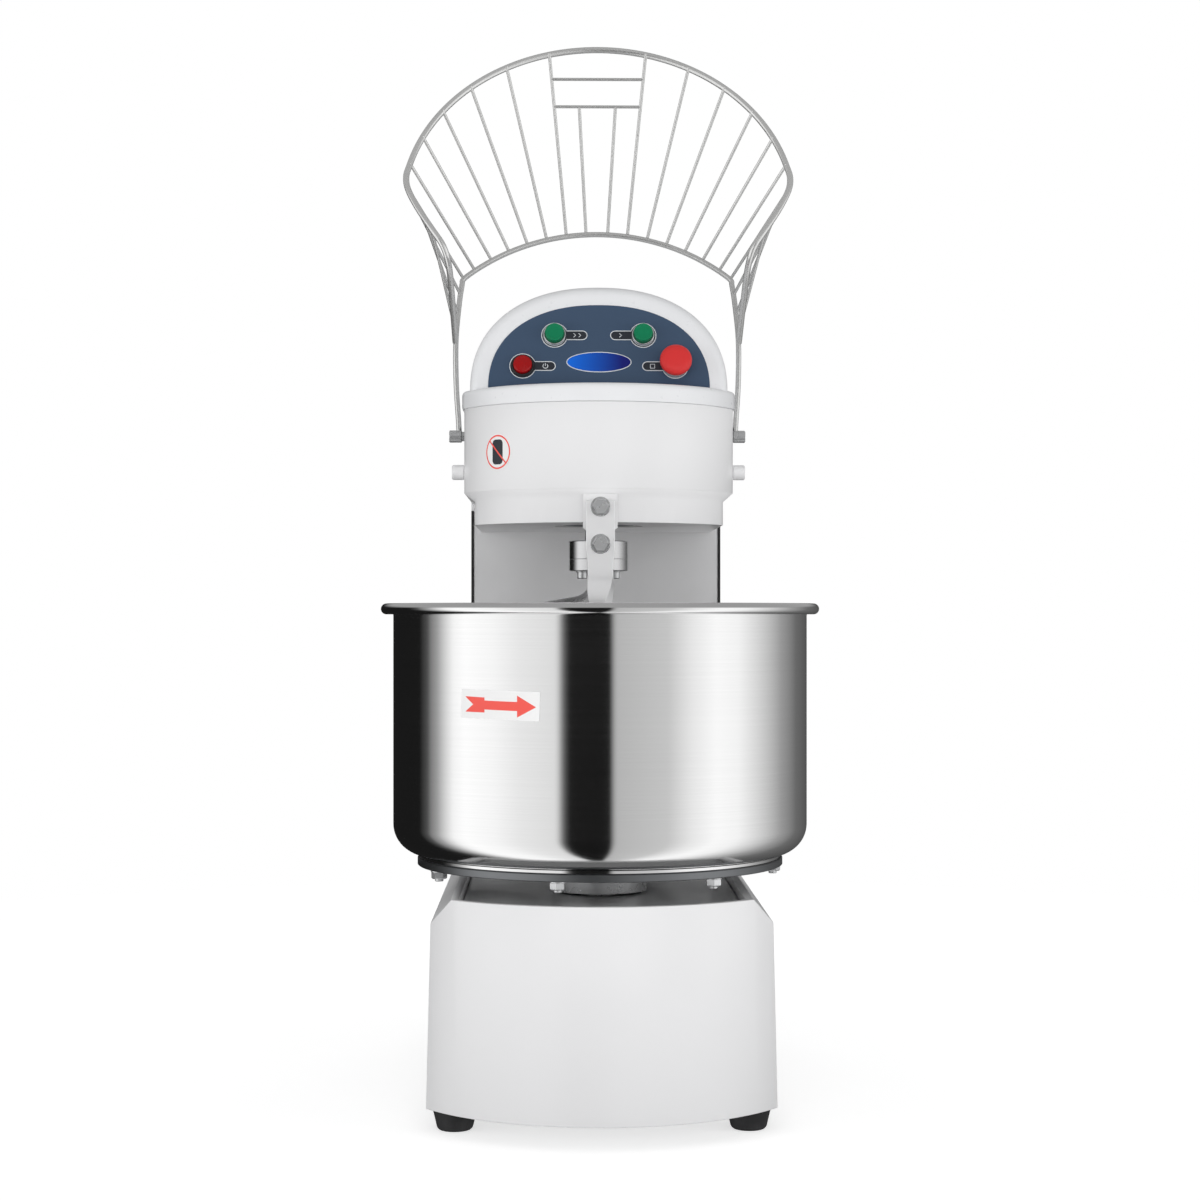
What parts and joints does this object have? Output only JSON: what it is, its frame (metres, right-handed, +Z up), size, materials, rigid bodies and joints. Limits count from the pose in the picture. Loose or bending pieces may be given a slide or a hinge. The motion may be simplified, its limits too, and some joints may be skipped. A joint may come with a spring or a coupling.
{
  "type": "spiral dough mixer",
  "caption": "Floor-standing dough mixer with a turning steel bowl, a spiral hook, a breaker bar and a hinged wire guard.",
  "frame": {"origin": "on the floor, at the middle of the machine's bounding box", "axes": "+X to the right seen from the front, +Y to the back, +Z up; the front faces -Y"},
  "size_m": [0.534, 0.864, 1.3403],
  "materials": {
    "white_paint": "semi-gloss powder coat",
    "white_plastic": "smooth gloss moulding",
    "turned_stainless": "satin",
    "satin_stainless": "satin",
    "panel_stainless": "dull mill finish",
    "bowl_stainless": "turned and polished",
    "guard_stainless": "electropolished wire",
    "zinc_steel": "bright plated",
    "dark_steel": "machined",
    "bearing_steel": "ground",
    "cast_iron": "painted casting",
    "black_rubber": "matte",
    "belt_rubber": "matte",
    "black_plastic": "fine grain",
    "grey_plastic": "fine grain",
    "slate_film": "satin printed film",
    "blue_badge": "domed gloss",
    "chrome_ring": "polished",
    "red_lens": "clear moulded lens",
    "red_button": "satin",
    "green_button": "satin gloss",
    "sticker_film": "printed vinyl",
    "motor_paint": "enamel"
  },
  "bodies": {
    "chassis": {"rubber_feet": "black_rubber", "foot_bolts": "zinc_steel", "base_floor_plate": "zinc_steel", "base_shell": "white_paint", "base_top_plate": "white_paint", "column_shell": "white_paint", "column_front_panel": "panel_stainless", "column_edge_trims": "black_rubber", "rear_cover": "white_paint", "rear_cover_screws": "zinc_steel", "head_lower_box": "white_paint", "head_box": "white_paint", "head_frame_plate": "dark_steel", "top_cover": "white_plastic", "control_overlay": "slate_film", "panel_badge": "blue_badge", "button_bezels": "chrome_ring", "contact_blocks": "black_plastic", "power_lamp": "red_lens", "lamp_bezel": "black_plastic", "stop_button_collar": "chrome_ring", "safety_sticker": "sticker_film", "bar_bracket": "white_paint", "breaker_bar": "satin_stainless", "bar_bolts": "zinc_steel", "guard_stop_studs": "white_paint", "guard_bushes": "black_plastic", "guard_switch": "black_plastic", "cable_gland": "black_plastic", "bowl_bearing_housing": "cast_iron", "bowl_bearings": "bearing_steel", "housing_bolts": "zinc_steel", "spiral_bearing_housing": "cast_iron", "spiral_bearings": "bearing_steel", "drive_shaft_bearings": "cast_iron", "motor_body": "motor_paint", "motor_terminal_box": "black_plastic", "contactor_box": "grey_plastic", "drive_belts": "belt_rubber", "drive_chains": "dark_steel"},
    "bowl_unit": {"bowl_shell": "bowl_stainless", "bowl_ring": "bowl_stainless", "turntable": "dark_steel", "bowl_stud_bolts": "zinc_steel", "bowl_hub_shaft": "zinc_steel", "arrow_sticker": "sticker_film"},
    "spiral_unit": {"spiral_hook": "satin_stainless", "shaft_flange": "turned_stainless", "flange_bolts": "zinc_steel", "spiral_shaft_drive": "dark_steel"},
    "drive_shaft_unit": {"drive_shaft": "dark_steel"},
    "motor_rotor_unit": {"motor_rotor": "dark_steel"},
    "guard_unit": {"guard_ring": "guard_stainless", "guard_inner_rod": "guard_stainless", "guard_wires": "guard_stainless", "guard_pins": "zinc_steel"},
    "fast_button": {"fast_button_cap": "green_button"},
    "slow_button": {"slow_button_cap": "green_button"},
    "stop_stem": {"stop_button_stem": "black_plastic"},
    "stop_head": {"stop_button_head": "red_button"}
  },
  "joints": [
    {"name": "bowl_spin", "type": "hinge", "parent": "chassis", "child": "bowl_unit", "pos_m": [0, -0.165, 0.3], "axis": [0, 0, 1], "continuous": true},
    {"name": "drive_shaft_spin", "type": "hinge", "parent": "chassis", "child": "drive_shaft_unit", "pos_m": [0.085, 0.235, 0.4], "axis": [0, 0, 1], "continuous": true},
    {"name": "spiral_spin", "type": "hinge", "parent": "chassis", "child": "spiral_unit", "pos_m": [0, -0.04, 0.7], "axis": [0, 0, 1], "continuous": true},
    {"name": "motor_spin", "type": "hinge", "parent": "chassis", "child": "motor_rotor_unit", "pos_m": [-0.07, 0.315, 0.7], "axis": [0, 0, 1], "continuous": true},
    {"name": "guard_hinge", "type": "hinge", "parent": "chassis", "child": "guard_unit", "pos_m": [0, 0.045, 0.832], "axis": [1, 0, 0], "range_deg": [0, 112.8]},
    {"name": "fast_button_press", "type": "slide", "parent": "chassis", "child": "fast_button", "axis": [0, 0.9613, -0.2756], "range_m": [0, 0.003], "stiffness_N_per_m": 600, "springref_m": -0.002},
    {"name": "slow_button_press", "type": "slide", "parent": "chassis", "child": "slow_button", "axis": [0, 0.9613, -0.2756], "range_m": [0, 0.003], "stiffness_N_per_m": 600, "springref_m": -0.002},
    {"name": "stop_button_press", "type": "slide", "parent": "chassis", "child": "stop_stem", "axis": [0, 0.9613, -0.2756], "range_m": [0, 0.005]},
    {"name": "stop_button_twist", "type": "hinge", "parent": "stop_stem", "child": "stop_head", "pos_m": [0.0958, -0.08654, 0.91051], "axis": [0, 0.9613, -0.2756], "range_deg": [0, 45], "stiffness_Nm_per_rad": 0.02, "springref_deg": -11.46}
  ],
  "couplings": [
    {"joint": "drive_shaft_spin", "follows": "bowl_spin", "ratio": 5},
    {"joint": "spiral_spin", "follows": "bowl_spin", "ratio": 10},
    {"joint": "motor_spin", "follows": "bowl_spin", "ratio": 50}
  ]
}
